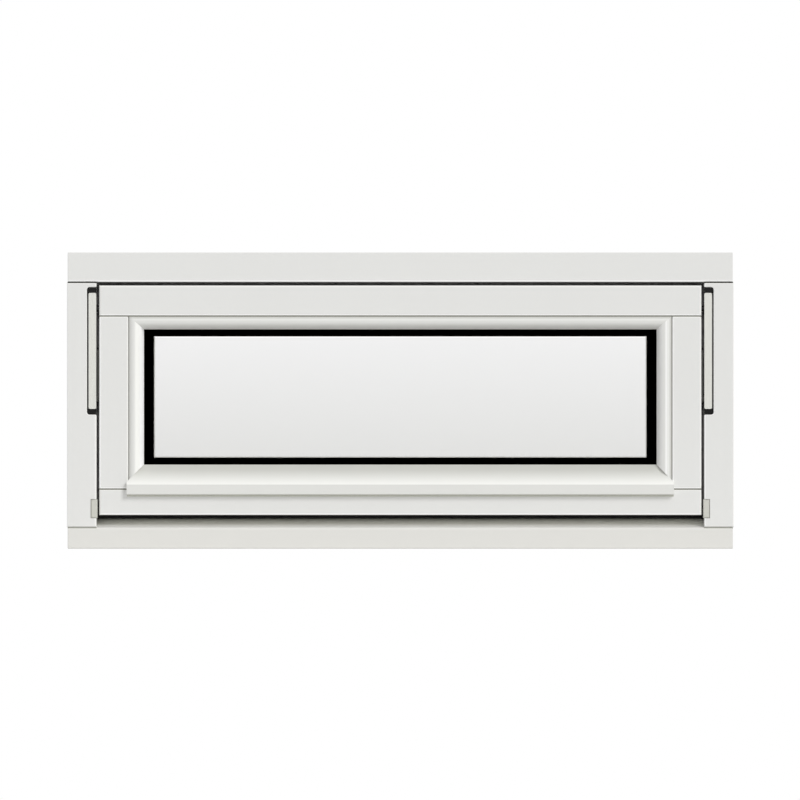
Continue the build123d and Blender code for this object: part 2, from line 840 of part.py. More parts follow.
bend_start = rosette_face + neck_length
with BuildPart() as handle_lever:
    with BuildLine(Plane.XY.offset(handle_height)):
        FilletPolyline(
            (0, rosette_face),
            (0, bend_start + lever_bend),
            (-lever_reach, bend_start + lever_bend),
            radius=lever_bend,
        )
    neck_plane = Plane(origin=(0, rosette_face, handle_height), x_dir=(1, 0, 0), z_dir=(0, 1, 0))
    with BuildSketch(neck_plane) as lever_section:
        Rectangle(lever_thickness, lever_height)
        chamfer(lever_section.vertices(), lever_arris)
    sweep()
    chamfer(handle_lever.faces().sort_by(Axis.X)[0].edges(), lever_arris)
handle_lever.part.label = "handle_lever"
export_step(handle_lever.part, "parts/handle_lever.step")
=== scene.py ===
import math

import bmesh
import bpy
from bpy.props import FloatProperty, FloatVectorProperty, PointerProperty
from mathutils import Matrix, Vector


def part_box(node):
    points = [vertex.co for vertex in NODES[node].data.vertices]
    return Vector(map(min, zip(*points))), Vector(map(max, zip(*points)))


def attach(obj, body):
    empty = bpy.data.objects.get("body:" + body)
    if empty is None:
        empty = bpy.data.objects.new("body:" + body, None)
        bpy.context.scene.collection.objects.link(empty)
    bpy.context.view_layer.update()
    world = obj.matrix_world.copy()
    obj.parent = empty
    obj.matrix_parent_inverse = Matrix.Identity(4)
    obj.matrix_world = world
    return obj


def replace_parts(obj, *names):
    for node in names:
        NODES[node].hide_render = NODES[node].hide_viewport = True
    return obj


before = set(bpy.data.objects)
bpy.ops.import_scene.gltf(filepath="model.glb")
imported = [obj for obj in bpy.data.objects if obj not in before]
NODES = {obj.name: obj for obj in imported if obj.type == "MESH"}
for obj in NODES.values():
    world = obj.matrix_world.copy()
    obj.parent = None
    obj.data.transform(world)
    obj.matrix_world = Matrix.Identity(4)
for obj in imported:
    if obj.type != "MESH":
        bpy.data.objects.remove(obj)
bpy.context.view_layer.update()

bl_info = {
    "name": "Top-swing window finish",
    "version": (1, 0, 0),
    "blender": (4, 5, 0),
    "location": "3D View > Sidebar > Window",
    "description": "Paints, glazes and fits out a timber top-swing window, and sets up its studio",
    "category": "Object",
}

BODY = "root"
MM = 0.001

# Planes of the loaded window that several pieces are set from
FRAME_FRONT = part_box("frame_head")[0].y
FRAME_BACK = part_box("frame_head")[1].y
HEAD_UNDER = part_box("frame_jamb_right")[1].z
JAMB_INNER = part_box("slide_rail_right")[0].x - 0.5 * MM
STOP_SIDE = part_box("frame_jamb_right")[0].x
HEAD_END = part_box("frame_head")[1].x
SASH_LOW, SASH_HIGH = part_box("sash_top_rail")
SASH_FRONT, SASH_BACK = SASH_LOW.y, SASH_HIGH.y
SASH_SIDE = SASH_HIGH.x
BEAD_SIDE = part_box("bead_right")[1].x
SIGHT_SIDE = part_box("bead_right")[0].x
SIGHT_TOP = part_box("bead_top")[0].z
SIGHT_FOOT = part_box("bead_bottom")[1].z
RAIL_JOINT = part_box("sash_stile_right")[1].z
FOOT_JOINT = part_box("sash_stile_right")[0].z
SPACER_LOW, SPACER_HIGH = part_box("spacer_bar")

# The two sides of the window and the way that each lies along X
SIDES = {"left": -1, "right": 1}


def linear(hex_code):
    """Linear colour of an sRGB hex value such as #E2E2E0."""
    channels = [int(hex_code[i:i + 2], 16) / 255 for i in (1, 3, 5)]
    return tuple(c / 12.92 if c <= 0.04045 else ((c + 0.055) / 1.055) ** 2.4 for c in channels)


def colour_property(name, description, hex_code):
    """A colour that the user can change, shown as a swatch."""
    return FloatVectorProperty(
        name=name,
        description=description,
        subtype="COLOR",
        size=3,
        min=0.0,
        max=1.0,
        default=linear(hex_code),
    )


def length_property(name, description, millimetres):
    """A length that the user can change, given in millimetres and kept in metres."""
    return FloatProperty(name=name, description=description, unit="LENGTH", min=0.0, default=millimetres * MM)


class WINDOW_PG_paint(bpy.types.PropertyGroup):
    """Paint on the timber, with painted light and shade"""

    face: colour_property("Face", "Paint on the flat faces", "#E2E2E0")
    # Painted shade: the sill's paint is a little darker than the faces, as if its faces took less light
    sill: colour_property("Sill", "Paint on the sill, which the weather has dulled a little", "#DEDDD9")
    # Painted light: the beads' paint is a touch lighter than the faces, for their slopes that catch more
    # light
    bead: colour_property("Beads", "Paint on the glazing beads", "#E4E4E1")
    # Painted highlight: lighter paint on the eased edges, which stands for the light they catch
    arris_highlight: colour_property("Arris", "Paint over the eased edges, where it is polished", "#F6F6F2")
    # Painted light: white that lightens undersides, the edges beside the gaps and parts of the beads
    highlight_white: colour_property("Lightening", "Paint that sun and rain don't reach, as on undersides", "#FFFFFF")
    # Painted light: a lighter paint on the sill's slope under the sash, which lightens the shade in the gap
    gap_light: colour_property("Lightened", "Paint on the sill's slope, under the sash", "#FFFFF6")
    # Painted shade: a dark tone mixed into the beads' paint, beside their joints, under their crowns and near
    # the glass
    shade_tone: colour_property("Darkening", "Dust that lies along joints and glass", "#8C8C80")
    roughness: FloatProperty(
        name="Roughness",
        description="Roughness of the satin paint",
        subtype="FACTOR",
        min=0.0,
        max=1.0,
        default=0.46,
    )


class WINDOW_PG_joints(bpy.types.PropertyGroup):
    """Sealer in the grooves where two members of timber meet, its colours also painted shade of the grooves,
    and a painted shadow under the bottom bead
    """

    # Painted shade: outside, the sealers' colours stand for the shade in each groove, nearly black under the
    # head, where the groove faces down, and pale over the sill, where it faces up
    head_sealer_shade: colour_property("Head joint", "Sealer between head and jambs", "#24241C")
    sill_sealer_shade: colour_property("Sill joint", "Sealer between jambs and sill", "#A2A298")
    sash_sealer_shade: colour_property("Sash joints", "Sealer between rails and stiles", "#7C7C72")
    # Painted shadow: the strip under the nose of the bottom bead is coloured as the shadow that the nose
    # casts
    nose_shadow_tone: colour_property("Shading", "Sealer under the nose of the bottom bead", "#C4C4BA")
    sink: length_property("Sink", "How far the sealer lies below the faces", 0.4)
    half_width: length_property("Half width", "Half of the width of sealer that shows", 0.9)


class WINDOW_PG_glass(bpy.types.PropertyGroup):
    """Insulating glass unit"""

    # Painted reflection: the inner pane's tint, lighter at its top and darker at its foot
    high: colour_property("Tint above", "Reflection on the inner pane near its top", "#F6F6F6")
    low: colour_property("Tint below", "Reflection on the inner pane near its foot", "#E3E3E1")
    # Painted highlight: a pale line along the glass's edge at the sides and foot of the spacer
    glint: colour_property("Spacer lip", "Lip along the sides and foot of the spacer", "#D2D2CC")
    # Painted highlight: a white strip on the inner pane just under the top of the spacer
    highlight_strip: length_property("Highlight strip", "Height of highlighted glass under the top of the spacer", 1.4)
    glint_width: length_property("Lip width", "How far the lip stands out of the spacer", 1.3)


class WINDOW_PG_fittings(bpy.types.PropertyGroup):
    """Metal and plastic of the fittings"""

    rail: colour_property("Slide rail", "Anodised aluminium of the slide rails", "#E2E2DC")
    handle: colour_property("Handle", "Anodised aluminium of the inside handle", "#C9CACB")
    casting: colour_property("Keep", "Cast zinc of the lock keeps", "#CACAC2")
    plating: colour_property("Plating", "Black zinc plating on plates, arms and screws", "#5A5A57")
    acetal: colour_property("Acetal", "Moulded plastic of the slide shoes", "#2B2B2A")
    cap: colour_property("Fixing caps", "Moulded caps over the frame's fixing holes", "#E6E6E2")
    screw_radius: length_property("Screw radius", "Radius of a screw's head", 2.72)
    cap_radius: length_property("Cap radius", "Radius of a fixing cap", 6.5)


class WINDOW_PG_stage(bpy.types.PropertyGroup):
    """Studio round the window"""

    sky: FloatProperty(
        name="Fill",
        description="Strength of the even light from all round",
        min=0.0,
        default=0.475,
    )
    key: FloatProperty(
        name="Key",
        description="Strength of the soft light from the upper right",
        min=0.0,
        default=1.53,
    )
    front: FloatProperty(
        name="Front",
        description="Strength of the soft light from in front, which reaches into the gaps",
        min=0.0,
        default=0.24,
    )
    floor: colour_property("Floor", "Plain pale floor", "#F2F2F0")
    view_width: length_property("View width", "Width that the camera takes in", 1080.0)
    floor_width: length_property("Floor width", "Width of the floor", 24000.0)


def add_node(tree, kind, sockets=None, **settings):
    """Adds one node. Each socket takes a value, or the output of another node."""
    node = tree.nodes.new(kind)
    for key, value in settings.items():
        setattr(node, key, value)
    for key, value in (sockets or {}).items():
        if isinstance(value, bpy.types.NodeSocket):
            tree.links.new(value, node.inputs[key])
        else:
            node.inputs[key].default_value = value
    return node


def new_material(name):
    """An empty material with its shader and output in place."""
    material = bpy.data.materials.new(name)
    material.use_nodes = True
    tree = material.node_tree
    tree.nodes.clear()
    shader = add_node(tree, "ShaderNodeBsdfPrincipled")
    add_node(tree, "ShaderNodeOutputMaterial", {"Surface": shader.outputs["BSDF"]})
    return material, tree, shader


def rgba(colour):
    """A colour with full cover, as a shader's socket takes it."""
    return (*colour, 1.0)


def shade(colour, factor):
    """A colour made darker or lighter by a factor, as a shader's socket takes it."""
    return rgba([min(1.0, channel * factor) for channel in colour])


def per_mm(spacing):
    """Scale of a noise whose features are that many millimetres apart."""
    return 1.0 / (spacing * MM)


def stretched(tree, axis, across, along):
    """Object coordinates scaled for a grain that runs along one axis, spacings in millimetres."""
    place = add_node(tree, "ShaderNodeTexCoord").outputs["Object"]
    scale = [per_mm(across)] * 3
    scale["XYZ".index(axis)] = per_mm(along)
    return add_node(tree, "ShaderNodeMapping", {"Vector": place, "Scale": scale}).outputs["Vector"]


def sprayed_paint_on_pine(name, paint, colour, axis, highlight_share, patches=()):
    """Satin acrylic paint sprayed on planed pine: an even coat whose peel is 1.5 mm wide, with the
    grain's ridges 3 mm apart just showing through it, and a tone that drifts a little over 160 mm.
    The eased edges are lightened by a painted highlight.
    Each patch is a colour, what it goes by (the way the surface faces, or its place), an axis, where
    it starts, where it is full, and its share."""
    material, tree, shader = new_material(name)
    place = add_node(tree, "ShaderNodeTexCoord").outputs["Object"]
    grain = add_node(
        tree,
        "ShaderNodeTexNoise",
        {"Vector": stretched(tree, axis, 3.0, 90.0), "Scale": 1.0, "Detail": 3.0, "Roughness": 0.6},
    )
    peel = add_node(
        tree,
        "ShaderNodeTexNoise",
        {"Vector": place, "Scale": per_mm(1.5), "Detail": 1.0, "Roughness": 0.4},
    )
    cloud = add_node(
        tree,
        "ShaderNodeTexNoise",
        {"Vector": place, "Scale": per_mm(160.0), "Detail": 2.0, "Roughness": 0.5},
    )
    grain_bump = add_node(
        tree,
        "ShaderNodeBump",
        {"Strength": 0.35, "Distance": 0.04 * MM, "Height": grain.outputs["Fac"]},
    )
    peel_bump = add_node(
        tree,
        "ShaderNodeBump",
        {
            "Strength": 0.3,
            "Distance": 0.02 * MM,
            "Height": peel.outputs["Fac"],
            "Normal": grain_bump.outputs["Normal"],
        },
    )

    # Share of the painted highlight on the arris: nothing where the surface faces along an axis, all where it
    # faces between two
    facing = add_node(tree, "ShaderNodeNewGeometry").outputs["Normal"]
    size = add_node(tree, "ShaderNodeVectorMath", {0: facing}, operation="ABSOLUTE")
    parts = add_node(tree, "ShaderNodeSeparateXYZ", {"Vector": size.outputs["Vector"]})
    largest = parts.outputs["X"]
    for way in ("Y", "Z"):
        sockets = {0: largest, 1: parts.outputs[way]}
        largest = add_node(tree, "ShaderNodeMath", sockets, operation="MAXIMUM").outputs[0]
    eased = add_node(
        tree,
        "ShaderNodeMapRange",
        {"Value": largest, "From Min": 0.998, "From Max": 0.90, "To Min": 0.0, "To Max": highlight_share},
    )

    mottle = add_node(
        tree,
        "ShaderNodeMix",
        {"Factor": cloud.outputs["Fac"], "A": shade(colour, 0.985), "B": shade(colour, 1.015)},
        data_type="RGBA",
    )
    arris_highlight = add_node(
        tree,
        "ShaderNodeMix",
        {"Factor": eased.outputs["Result"], "A": mottle.outputs["Result"], "B": rgba(paint.arris_highlight)},
        data_type="RGBA",
    )
    coat = arris_highlight.outputs["Result"]
    for tone, by, along, low, high, share in patches:
        measured = add_node(tree, "ShaderNodeSeparateXYZ", {"Vector": facing if by == "facing" else place})
        cover = add_node(
            tree,
            "ShaderNodeMapRange",
            {
                "Value": measured.outputs[along],
                "From Min": low,
                "From Max": high,
                "To Min": 0.0,
                "To Max": share,
            },
        )
        coat = add_node(
            tree,
            "ShaderNodeMix",
            {"Factor": cover.outputs["Result"], "A": coat, "B": rgba(tone)},
            data_type="RGBA",
        ).outputs["Result"]
    gloss = add_node(
        tree,
        "ShaderNodeMapRange",
        {"Value": grain.outputs["Fac"], "To Min": paint.roughness - 0.05, "To Max": paint.roughness + 0.05},
    )
    tree.links.new(coat, shader.inputs["Base Color"])
    tree.links.new(gloss.outputs["Result"], shader.inputs["Roughness"])
    tree.links.new(peel_bump.outputs["Normal"], shader.inputs["Normal"])
    shader.inputs["IOR"].default_value = 1.48
    return material


def cut_sealer(name, colour):
    """Joint sealer, gunned into a groove and tooled: soft, matt and slightly lumpy every 4 mm."""
    material, tree, shader = new_material(name)
    place = add_node(tree, "ShaderNodeTexCoord").outputs["Object"]
    lumps = add_node(tree, "ShaderNodeTexNoise", {"Vector": place, "Scale": per_mm(4.0), "Detail": 2.0})
    tone = add_node(
        tree,
        "ShaderNodeMix",
        {"Factor": lumps.outputs["Fac"], "A": shade(colour, 0.9), "B": shade(colour, 1.1)},
        data_type="RGBA",
    )
    bump = add_node(
        tree,
        "ShaderNodeBump",
        {"Strength": 0.4, "Distance": 0.05 * MM, "Height": lumps.outputs["Fac"]},
    )
    tree.links.new(tone.outputs["Result"], shader.inputs["Base Color"])
    tree.links.new(bump.outputs["Normal"], shader.inputs["Normal"])
    shader.inputs["Roughness"].default_value = 0.7
    shader.inputs["IOR"].default_value = 1.47
    return material


def float_glass(name, high, low, edge=None):
    """Float glass: flat and clear, with a painted reflection: a faint tint, a little deeper towards the foot.
    The tint ends at a height, the edge, above which the glass is white, a painted highlight."""
    material, tree, shader = new_material(name)
    place = add_node(tree, "ShaderNodeTexCoord").outputs["Object"]
    height = add_node(tree, "ShaderNodeSeparateXYZ", {"Vector": place}).outputs["Z"]
    span = {"Value": height, "From Min": SIGHT_FOOT, "From Max": SIGHT_TOP}
    depth = add_node(tree, "ShaderNodeMapRange", span)
    tint = add_node(
        tree,
        "ShaderNodeMix",
        {"Factor": depth.outputs["Result"], "A": rgba(low), "B": rgba(high)},
        data_type="RGBA",
    )
    # Painted highlight: above the edge the glass is white
    if edge:
        in_highlight = add_node(tree, "ShaderNodeMath", {0: height, 1: edge}, operation="GREATER_THAN")
        tint = add_node(
            tree,
            "ShaderNodeMix",
            {"Factor": in_highlight.outputs[0], "A": tint.outputs["Result"], "B": (1.0, 1.0, 1.0, 1.0)},
            data_type="RGBA",
        )
    # The ribbon's draw lines are about 40 mm apart
    waves = add_node(tree, "ShaderNodeTexNoise", {"Vector": place, "Scale": per_mm(40.0), "Detail": 0.0})
    bump = add_node(
        tree,
        "ShaderNodeBump",
        {"Strength": 0.05, "Distance": 0.01 * MM, "Height": waves.outputs["Fac"]},
    )
    tree.links.new(tint.outputs["Result"], shader.inputs["Base Color"])
    tree.links.new(bump.outputs["Normal"], shader.inputs["Normal"])
    shader.inputs["Roughness"].default_value = 0.0
    shader.inputs["IOR"].default_value = 1.52
    shader.inputs["Transmission Weight"].default_value = 1.0
    return material


def extruded_rubber(name, hex_code, roughness):
    """Extruded EPDM or cured sealant: deep black and matt. The die lines of the real one are finer than
    these, which are 0.8 mm apart. In a view of the whole window they only soften the shine."""
    material, tree, shader = new_material(name)
    colour = linear(hex_code)
    place = add_node(tree, "ShaderNodeTexCoord").outputs["Object"]
    lines = add_node(
        tree,
        "ShaderNodeTexNoise",
        {"Vector": place, "Scale": per_mm(0.8), "Detail": 2.0, "Roughness": 0.6},
    )
    tone = add_node(
        tree,
        "ShaderNodeMix",
        {"Factor": lines.outputs["Fac"], "A": rgba(colour), "B": shade(colour, 1.6)},
        data_type="RGBA",
    )
    bump = add_node(
        tree,
        "ShaderNodeBump",
        {"Strength": 0.3, "Distance": 0.03 * MM, "Height": lines.outputs["Fac"]},
    )
    tree.links.new(tone.outputs["Result"], shader.inputs["Base Color"])
    tree.links.new(bump.outputs["Normal"], shader.inputs["Normal"])
    shader.inputs["Roughness"].default_value = roughness
    shader.inputs["IOR"].default_value = 1.5
    return material


def brushed_metal(name, colour, axis, roughness, spacing, depth):
    """Metal whose surface was drawn, brushed or plated along one axis: its streaks spread the shine.
    Their spacing and depth are in millimetres. The real streaks are too fine to show, so these are
    drawn coarser, and in a view of the whole window they still only soften the shine."""
    material, tree, shader = new_material(name)
    streaks = add_node(
        tree,
        "ShaderNodeTexNoise",
        {"Vector": stretched(tree, axis, spacing, spacing * 60), "Scale": 1.0, "Detail": 4.0},
    )
    tone = add_node(
        tree,
        "ShaderNodeMix",
        {"Factor": streaks.outputs["Fac"], "A": shade(colour, 0.93), "B": shade(colour, 1.05)},
        data_type="RGBA",
    )
    sheen = add_node(
        tree,
        "ShaderNodeMapRange",
        {"Value": streaks.outputs["Fac"], "To Min": roughness - 0.06, "To Max": roughness + 0.06},
    )
    bump = add_node(
        tree,
        "ShaderNodeBump",
        {"Strength": 0.3, "Distance": depth * MM, "Height": streaks.outputs["Fac"]},
    )
    tree.links.new(tone.outputs["Result"], shader.inputs["Base Color"])
    tree.links.new(sheen.outputs["Result"], shader.inputs["Roughness"])
    tree.links.new(bump.outputs["Normal"], shader.inputs["Normal"])
    shader.inputs["Metallic"].default_value = 1.0
    return material


def cast_zinc(name, colour):
    """Zinc die casting with a matt powder coat: a fine sandy skin. Its real grains are too fine to show,
    so they are drawn coarser, 0.7 mm apart."""
    material, tree, shader = new_material(name)
    place = add_node(tree, "ShaderNodeTexCoord").outputs["Object"]
    sand = add_node(
        tree,
        "ShaderNodeTexNoise",
        {"Vector": place, "Scale": per_mm(0.7), "Detail": 3.0, "Roughness": 0.6},
    )
    tone = add_node(
        tree,
        "ShaderNodeMix",
        {"Factor": sand.outputs["Fac"], "A": shade(colour, 0.9), "B": shade(colour, 1.08)},
        data_type="RGBA",
    )
    bump = add_node(
        tree,
        "ShaderNodeBump",
        {"Strength": 0.4, "Distance": 0.05 * MM, "Height": sand.outputs["Fac"]},
    )
    tree.links.new(tone.outputs["Result"], shader.inputs["Base Color"])
    tree.links.new(bump.outputs["Normal"], shader.inputs["Normal"])
    shader.inputs["Roughness"].default_value = 0.5
    shader.inputs["IOR"].default_value = 1.5
    return material


def moulded_acetal(name, colour, roughness=0.36):
    """Injection-moulded acetal: waxy and slightly glossy, with a spark-eroded skin. The skin's real pits
    are too fine to show, so they are drawn coarser, 0.5 mm apart."""
    material, tree, shader = new_material(name)
    place = add_node(tree, "ShaderNodeTexCoord").outputs["Object"]
    pits = add_node(tree, "ShaderNodeTexNoise", {"Vector": place, "Scale": per_mm(0.5), "Detail": 2.0})
    bump = add_node(
        tree,
        "ShaderNodeBump",
        {"Strength": 0.25, "Distance": 0.02 * MM, "Height": pits.outputs["Fac"]},
    )
    sheen = add_node(
        tree,
        "ShaderNodeMapRange",
        {"Value": pits.outputs["Fac"], "To Min": roughness - 0.06, "To Max": roughness + 0.06},
    )
    tree.links.new(sheen.outputs["Result"], shader.inputs["Roughness"])
    tree.links.new(bump.outputs["Normal"], shader.inputs["Normal"])
    shader.inputs["Base Color"].default_value = rgba(colour)
    shader.inputs["IOR"].default_value = 1.48
    return material


def dress(names, material):
    """Gives loaded nodes a material in their own slots."""
    for name in names:
        for slot in NODES[name].material_slots:
            slot.link = "OBJECT"
            slot.material = material


def skin(mesh, rings, looped=False):
    """Joins rings of points with faces. The ends are capped, or joined to each other when it is looped."""
    loops = [[mesh.verts.new(point) for point in ring] for ring in rings]
    following = loops[1:] + loops[:1] if looped else loops[1:]
    for one, two in zip(loops, following):
        for i in range(len(one)):
            j = (i + 1) % len(one)
            mesh.faces.new((one[i], one[j], two[j], two[i]))
    if not looped:
        mesh.faces.new(list(reversed(loops[0])))
        mesh.faces.new(loops[-1])


def make_piece(name, mesh, material, sharp_angle=35.0):
    """Turns a mesh into a piece of the window, shaded smooth up to an angle in degrees."""
    bmesh.ops.recalc_face_normals(mesh, faces=mesh.faces)
    data = bpy.data.meshes.new(name)
    mesh.to_mesh(data)
    mesh.free()
    data.shade_smooth()
    data.set_sharp_from_angle(angle=math.radians(sharp_angle))
    data.materials.append(material)
    piece = bpy.data.objects.new(name, data)
    bpy.context.scene.collection.objects.link(piece)
    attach(piece, BODY)
    return piece


def turned(mesh, centre, axis, rings, steps=32):
    """Rings about an axis. Each ring is a height and a radius, and the radius may depend on the angle."""
    turn = Vector((0, 0, 1)).rotation_difference(Vector(axis)).to_matrix()
    points = []
    for height, radius in rings:
        ring = []
        for step in range(steps):
            angle = 2 * math.pi * step / steps
            r = radius(angle) if callable(radius) else radius
            ring.append(Vector(centre) + turn @ Vector((r * math.cos(angle), r * math.sin(angle), height)))
        points.append(ring)
    skin(mesh, points)


def cross_recess(reach):
    """Radius of a cross recess: long along its four arms and short between them."""
    return lambda angle: reach * (0.36 + 0.64 * max(0.0, math.cos(2 * angle) ** 2 * 2 - 1))


def add_screw(mesh, centre, axis, radius):
    """Raised countersunk screw head with a cross recess, standing on the surface at its centre."""
    turned(
        mesh,
        centre,
        axis,
        [
            (-0.2 * radius, 0.80 * radius),
            (0.02 * radius, radius),
            (0.10 * radius, 0.97 * radius),
            (0.20 * radius, 0.80 * radius),
            (0.25 * radius, cross_recess(0.62 * radius)),
            (0.06 * radius, cross_recess(0.40 * radius)),
        ],
    )


def drive_screws(plate, screw, metal, radius, from_foot, from_top, foot_shift=0.0):
    """Drives a lower and an upper screw into the plate on each side of the sash, at distances from its
    foot and top. The lower one stands a shift inwards of the plate's middle."""
    for side, sign in SIDES.items():
        low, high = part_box(f"{plate}_{side}")
        surface = high.x if sign > 0 else low.x
        middle = (low.y + high.y) / 2
        places = (("lower", low.z + from_foot, foot_shift), ("upper", high.z - from_top, 0.0))
        for end, height, shift in places:
            mesh = bmesh.new()
            add_screw(mesh, (surface, middle + shift, height), (sign, 0, 0), radius)
            make_piece(f"{screw}_{end}_{side}", mesh, metal)


def in_mm(section):
    """A section that is given in millimetres, in metres."""
    return [(rise * MM, depth * MM) for rise, depth in section]


def run_sealer(name, section, height, face, ends, sealer):
    """Runs sealer along X between two ends, at a height on a face. Its section is pairs of height and
    depth about that line."""
    mesh = bmesh.new()
    rings = [[Vector((x, face + depth, height + rise)) for rise, depth in section] for x in ends]
    skin(mesh, rings)
    make_piece(name, mesh, sealer)


def rounded_rectangle(half_width, half_height, radius, steps=6):
    """Points round a rectangle with round corners, about its middle."""
    points = []
    for sign_u, sign_v, start in ((1, 1, 0), (-1, 1, 90), (-1, -1, 180), (1, -1, 270)):
        for step in range(steps + 1):
            angle = math.radians(start + 90 * step / steps)
            points.append(
                (
                    sign_u * (half_width - radius) + radius * math.cos(angle),
                    sign_v * (half_height - radius) + radius * math.sin(angle),
                )
            )
    return points


class WINDOW_OT_paint_timber(bpy.types.Operator):
    """Paint the frame, the sash and the glazing beads"""

    bl_idname = "window.paint_timber"
    bl_label = "Paint the timber"

    def execute(self, context):
        paint = context.scene.window_paint
        # Painted highlight: surfaces that face down are made white, so the arrises that face down show as
        # light lines
        under = (paint.highlight_white, "facing", "Z", -0.02, -0.30, 1.0)
        # Painted light on the sill's slope under the sash, which lightens the shade in the gap: where it
        # starts, is full, and ends again
        gap_light_start = FRAME_FRONT + 8 * MM
        gap_light_full = FRAME_FRONT + 30 * MM
        room_start = SASH_BACK + 1 * MM
        room_full = SASH_BACK + 3 * MM
        # Each coat: its name, its members, their colour, the way of the grain, the share of painted highlight
        # on the arrises and the patches of painted light and shade
        coats = [
            ("head", ["frame_head"], paint.face, "X", 0.3, [under]),
            # Sill: painted light on its slope under the sash, kept off the part behind the sash and off faces
            # that don't face up
            (
                "sill",
                ["frame_sill"],
                paint.sill,
                "X",
                0.2,
                [
                    (paint.gap_light, "place", "Y", gap_light_start, gap_light_full, 1.0),
                    (paint.sill, "place", "Y", room_start, room_full, 1.0),
                    (paint.sill, "facing", "Z", 0.90, 0.60, 1.0),
                ],
            ),
            # Jambs: painted highlight, white on the arris where it turns into the gap and a little on the
            # undersides, while the flat sides keep the colour of the face
            (
                "jamb",
                ["frame_jamb_left", "frame_jamb_right"],
                paint.face,
                "Z",
                0.5,
                [
                    (paint.highlight_white, "facing", "Z", -0.02, -0.30, 0.35),
                    (paint.highlight_white, "facing", "X", -0.12, -0.35, 1.0),
                    (paint.face, "facing", "X", -0.69, -0.89, 1.0),
                ],
            ),
            ("rail", ["sash_top_rail", "sash_bottom_rail"], paint.face, "X", 0.6, [under]),
            # Stiles: painted highlight, white on their undersides and on the edges that face to the left
            (
                "stile",
                ["sash_stile_left", "sash_stile_right"],
                paint.face,
                "Z",
                0.7,
                [under, (paint.highlight_white, "facing", "X", -0.02, -0.30, 1.0)],
            ),
            # Bottom bead: painted highlight on its upward faces, painted shade towards the glass and a little
            # on its front
            (
                "bottom_bead",
                ["bead_bottom"],
                paint.bead,
                "X",
                0.0,
                [
                    (paint.arris_highlight, "facing", "Z", 0.15, 0.42, 0.75),
                    (paint.shade_tone, "place", "Z", 88 * MM, 106 * MM, 0.46),
                    (paint.shade_tone, "facing", "Y", -0.97, -1.0, 0.07),
                ],
            ),
        ]
        for part, members, colour, axis, highlight_amount, patches in coats:
            name = f"sprayed_paint_on_pine_{part}"
            dress(members, sprayed_paint_on_pine(name, paint, colour, axis, highlight_amount, patches))
        return {"FINISHED"}


def bead_profile():
    """Section of a crowned bead as shares of its width and depths in millimetres from the sash's face:
    a quarter round at the outer edge, an ovolo down to the glass and a soft edge there."""
    foot, rise, drop, back = -3.5, 3.2, -11.2, -17.0
    crown, edge = 0.362, 0.965
    round_steps, ovolo_steps = 8, 12
    ovolo_turn = 76
    # The power makes the ovolo leaner than an ellipse
    lean = 1.4
    points = []
    for step in range(round_steps + 1):
        angle = math.radians(90 * step / round_steps)
        points.append((crown * (1 - math.cos(angle)), foot + (rise - foot) * math.sin(angle)))
    for step in range(1, ovolo_steps + 1):
        angle = math.radians(ovolo_turn * step / ovolo_steps)
        share = crown + (edge - crown) * math.sin(angle)
        points.append((share, drop + (rise - drop) * math.cos(angle) ** lean))
    share, depth = points[-1]
    points += [(0.5 * (share + 1.0) + 0.005, depth - 1.0), (0.992, depth - 2.0), (1.0, depth - 3.4)]
    points += [(1.0, back), (0.0, back)]
    return points


class WINDOW_OT_glazing_beads(bpy.types.Operator):
    """Run the crowned glazing beads round the top and the sides of the glass, mitred at their ends"""

    bl_idname = "window.glazing_beads"
    bl_label = "Fit the glazing beads"

    def execute(self, context):
        paint = context.scene.window_paint
        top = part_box("bead_top")[1].z
        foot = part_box("bead_right")[0].z
        width = BEAD_SIDE - SIGHT_SIDE
        # Each bead: the way of its grain, the patches of painted light and shade on its paint, and the two
        # ends of the line that runs along it at a share of its width
        beads = {
            # Top bead: painted shade on the quarter that faces up, on the fall to the glass and on the crown
            "top": (
                "X",
                [
                    (paint.shade_tone, "facing", "Z", 0.30, 1.0, 0.55),
                    (paint.shade_tone, "facing", "Z", -0.60, -0.95, 0.10),
                    (paint.shade_tone, "facing", "Y", -0.94, -1.0, 0.10),
                ],
                lambda share, x, z: [(-x, z), (x, z)],
            ),
            # Left bead: painted shade on its outer quarter, painted highlight on the crown and fall, and a
            # white painted highlight along its edge at the glass
            "left": (
                "Z",
                [
                    (paint.shade_tone, "facing", "X", -0.75, -1.0, 0.35),
                    (paint.arris_highlight, "facing", "X", -0.05, 0.25, 0.85),
                    (paint.highlight_white, "facing", "X", 0.68, 0.80, 1.0),
                ],
                lambda share, x, z: [(-x, z), (-x, foot + share * width)],
            ),
            # Right bead: painted shade on its outer quarter, and painted highlight on the crown and on the
            # fall to the glass
            "right": (
                "Z",
                [
                    (paint.shade_tone, "facing", "X", 0.40, 1.0, 0.65),
                    (paint.highlight_white, "facing", "Y", -0.98, -1.0, 0.6),
                    (paint.highlight_white, "facing", "X", -0.35, -0.75, 0.60),
                ],
                lambda share, x, z: [(x, z), (x, foot + share * width)],
            ),
        }
        for side, (axis, patches, ends) in beads.items():
            mesh = bmesh.new()
            lines = []
            for share, depth in bead_profile():
                x = BEAD_SIDE + share * (SIGHT_SIDE - BEAD_SIDE)
                z = top + share * (SIGHT_TOP - top)
                lines.append([Vector((u, SASH_FRONT - depth * MM, v)) for u, v in ends(share, x, z)])
            skin(mesh, list(zip(*lines)))
            name = f"sprayed_paint_on_pine_{side}_bead"
            coat = sprayed_paint_on_pine(name, paint, paint.bead, axis, 0.0, patches)
            bead = make_piece(f"glazing_bead_{side}", mesh, coat, 40.0)
            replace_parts(bead, f"bead_{side}")
        return {"FINISHED"}


